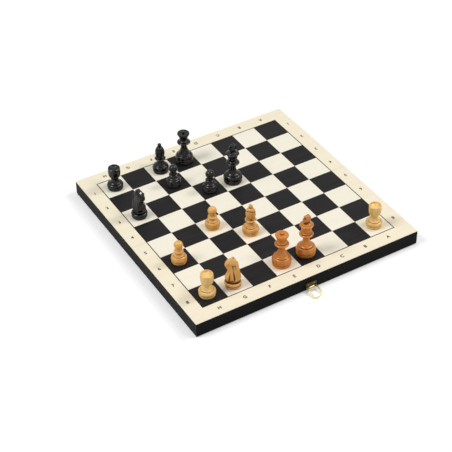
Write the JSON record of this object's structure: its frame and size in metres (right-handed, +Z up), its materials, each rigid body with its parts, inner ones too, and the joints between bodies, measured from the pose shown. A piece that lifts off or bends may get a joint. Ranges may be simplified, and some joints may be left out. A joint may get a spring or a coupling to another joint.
{
  "type": "games compendium box",
  "caption": "Folding wooden games case laid open as a chess board with its men standing on it, backgammon field inside, hinged along one side and held shut by a brass hasp.",
  "frame": {"origin": "middle of the bounding box at the bottom: on the table, under the middle of the open case with its hasp", "axes": "+X along the fold, from the h file to the a file; +Y across the fold, from the clasp side to the catch side; +Z up, out of the chess board"},
  "size_m": [0.37, 0.3952, 0.0919],
  "materials": {
    "black_lacquer": "satin black lacquer over wood",
    "cream_veneer": "satin lacquered pale maple veneer",
    "charcoal_veneer": "satin dark stained veneer",
    "black_line": "satin black stringing",
    "tan_veneer": "satin tan stained veneer",
    "brown_veneer": "satin red-brown stained veneer",
    "brass": "plated, slightly brushed",
    "brass_fixings": "plated",
    "steel_pins": "drawn wire",
    "honey_varnished_wood": "glossy clear varnish over turned hardwood",
    "ebonised_wood": "glossy black lacquer over turned hardwood",
    "pale_stone_wood": "satin turned wood",
    "maroon_stone_wood": "satin stained turned wood",
    "black_dice": "glossy black with white pips"
  },
  "bodies": {
    "front_tray": {"front_clasp_rail": "black_lacquer", "front_hinge_rail": "black_lacquer", "front_left_rail": "black_lacquer", "front_right_rail": "black_lacquer", "front_panel": "black_lacquer", "front_border": "cream_veneer", "front_light_squares": "cream_veneer", "front_dark_squares": "charcoal_veneer", "front_stringing": "black_line", "front_field": "cream_veneer", "front_dark_points": "charcoal_veneer", "front_tan_points": "tan_veneer", "front_brown_points": "brown_veneer", "front_hinge_leaves": "brass", "front_hinge_screws": "brass_fixings", "hinge_pins": "steel_pins", "clasp_plate": "brass", "clasp_pin": "steel_pins", "clasp_nails": "brass_fixings", "pale_stones": "pale_stone_wood", "maroon_stones": "maroon_stone_wood", "dice": "black_dice"},
    "back_tray": {"back_catch_rail": "black_lacquer", "back_hinge_rail": "black_lacquer", "back_left_rail": "black_lacquer", "back_right_rail": "black_lacquer", "back_panel": "black_lacquer", "back_border": "cream_veneer", "back_light_squares": "cream_veneer", "back_dark_squares": "charcoal_veneer", "back_stringing": "black_line", "back_field": "cream_veneer", "back_dark_points": "charcoal_veneer", "back_tan_points": "tan_veneer", "back_brown_points": "brown_veneer", "back_hinge_leaves": "brass", "back_hinge_screws": "brass_fixings", "catch_plate": "brass", "catch_nails": "brass_fixings"},
    "hasp": {"hasp": "brass"},
    "white_king": {"white_king": "honey_varnished_wood"},
    "white_queen": {"white_queen": "honey_varnished_wood"},
    "white_bishop": {"white_bishop": "honey_varnished_wood"},
    "white_knight": {"white_knight": "honey_varnished_wood"},
    "white_rook_1": {"white_rook_1": "honey_varnished_wood"},
    "white_rook_2": {"white_rook_2": "honey_varnished_wood"},
    "white_pawn_1": {"white_pawn_1": "honey_varnished_wood"},
    "white_pawn_2": {"white_pawn_2": "honey_varnished_wood"},
    "black_king": {"black_king": "ebonised_wood"},
    "black_queen": {"black_queen": "ebonised_wood"},
    "black_bishop": {"black_bishop": "ebonised_wood"},
    "black_knight": {"black_knight": "ebonised_wood"},
    "black_rook": {"black_rook": "ebonised_wood"},
    "black_pawn_1": {"black_pawn_1": "ebonised_wood"},
    "black_pawn_2": {"black_pawn_2": "ebonised_wood"}
  },
  "joints": [
    {"name": "fold", "type": "hinge", "parent": "front_tray", "child": "back_tray", "pos_m": [0, 0.00941, 0.0015], "axis": [-1, 0, 0], "range_deg": [0, 180]},
    {"name": "hasp_swing", "type": "hinge", "parent": "front_tray", "child": "hasp", "pos_m": [0, -0.17709, 0.0055], "axis": [1, 0, 0], "range_deg": [-93.81, 76.19]},
    {"name": "white_king_lift", "type": "slide", "parent": "front_tray", "child": "white_king", "axis": [0, 0, 1], "range_m": [0, 0.1]},
    {"name": "white_queen_lift", "type": "slide", "parent": "front_tray", "child": "white_queen", "axis": [0, 0, 1], "range_m": [0, 0.1]},
    {"name": "white_bishop_lift", "type": "slide", "parent": "front_tray", "child": "white_bishop", "axis": [0, 0, 1], "range_m": [0, 0.1]},
    {"name": "white_knight_lift", "type": "slide", "parent": "front_tray", "child": "white_knight", "axis": [0, 0, 1], "range_m": [0, 0.1]},
    {"name": "white_rook_1_lift", "type": "slide", "parent": "front_tray", "child": "white_rook_1", "axis": [0, 0, 1], "range_m": [0, 0.1]},
    {"name": "white_rook_2_lift", "type": "slide", "parent": "front_tray", "child": "white_rook_2", "axis": [0, 0, 1], "range_m": [0, 0.1]},
    {"name": "white_pawn_1_lift", "type": "slide", "parent": "front_tray", "child": "white_pawn_1", "axis": [0, 0, 1], "range_m": [0, 0.1]},
    {"name": "white_pawn_2_lift", "type": "slide", "parent": "front_tray", "child": "white_pawn_2", "axis": [0, 0, 1], "range_m": [0, 0.1]},
    {"name": "black_king_lift", "type": "slide", "parent": "back_tray", "child": "black_king", "axis": [0, 0, 1], "range_m": [0, 0.1]},
    {"name": "black_queen_lift", "type": "slide", "parent": "back_tray", "child": "black_queen", "axis": [0, 0, 1], "range_m": [0, 0.1]},
    {"name": "black_bishop_lift", "type": "slide", "parent": "back_tray", "child": "black_bishop", "axis": [0, 0, 1], "range_m": [0, 0.1]},
    {"name": "black_knight_lift", "type": "slide", "parent": "back_tray", "child": "black_knight", "axis": [0, 0, 1], "range_m": [0, 0.1]},
    {"name": "black_rook_lift", "type": "slide", "parent": "back_tray", "child": "black_rook", "axis": [0, 0, 1], "range_m": [0, 0.1]},
    {"name": "black_pawn_1_lift", "type": "slide", "parent": "back_tray", "child": "black_pawn_1", "axis": [0, 0, 1], "range_m": [0, 0.1]},
    {"name": "black_pawn_2_lift", "type": "slide", "parent": "back_tray", "child": "black_pawn_2", "axis": [0, 0, 1], "range_m": [0, 0.1]}
  ]
}
